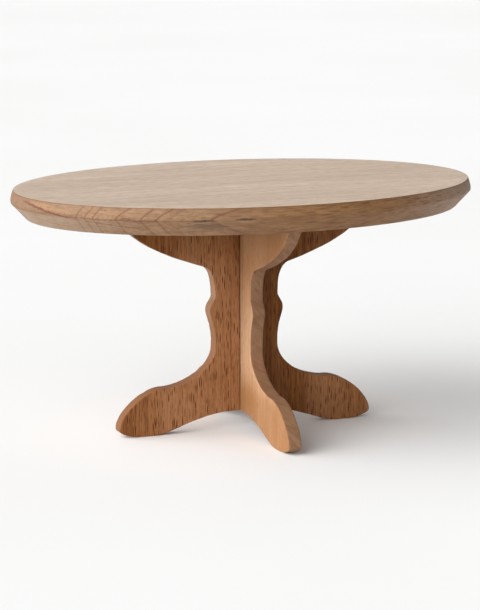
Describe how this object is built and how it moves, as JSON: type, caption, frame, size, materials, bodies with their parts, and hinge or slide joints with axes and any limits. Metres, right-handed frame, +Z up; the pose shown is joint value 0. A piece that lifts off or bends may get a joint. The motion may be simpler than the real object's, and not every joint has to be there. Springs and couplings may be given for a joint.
{
  "type": "miniature dining table",
  "caption": "Doll's house dining table: a thick oval wooden top with a convex, under-bevelled edge on a pedestal of two crossed, scroll-sawn leg boards.",
  "frame": {"origin": "on the floor, under the middle of the table, where the two leg boards cross", "axes": "+X along the length of the oval top and along the long leg board, +Y across it along the cross leg board, +Z up"},
  "size_m": [0.173, 0.122, 0.091],
  "materials": {
    "top_beech": "matte, bare or lightly waxed pale beech",
    "red_beech": "matte, reddish beech with dark ray flecks",
    "pale_beech": "matte, light peach beech with fine straight grain",
    "dowel_beech": "bare turned dowel rod"
  },
  "bodies": {
    "root": {"table_top": "top_beech", "long_leg_board": "red_beech", "cross_leg_board": "pale_beech", "dowel_left": "dowel_beech", "dowel_right": "dowel_beech", "dowel_front": "dowel_beech", "dowel_back": "dowel_beech"}
  },
  "joints": []
}
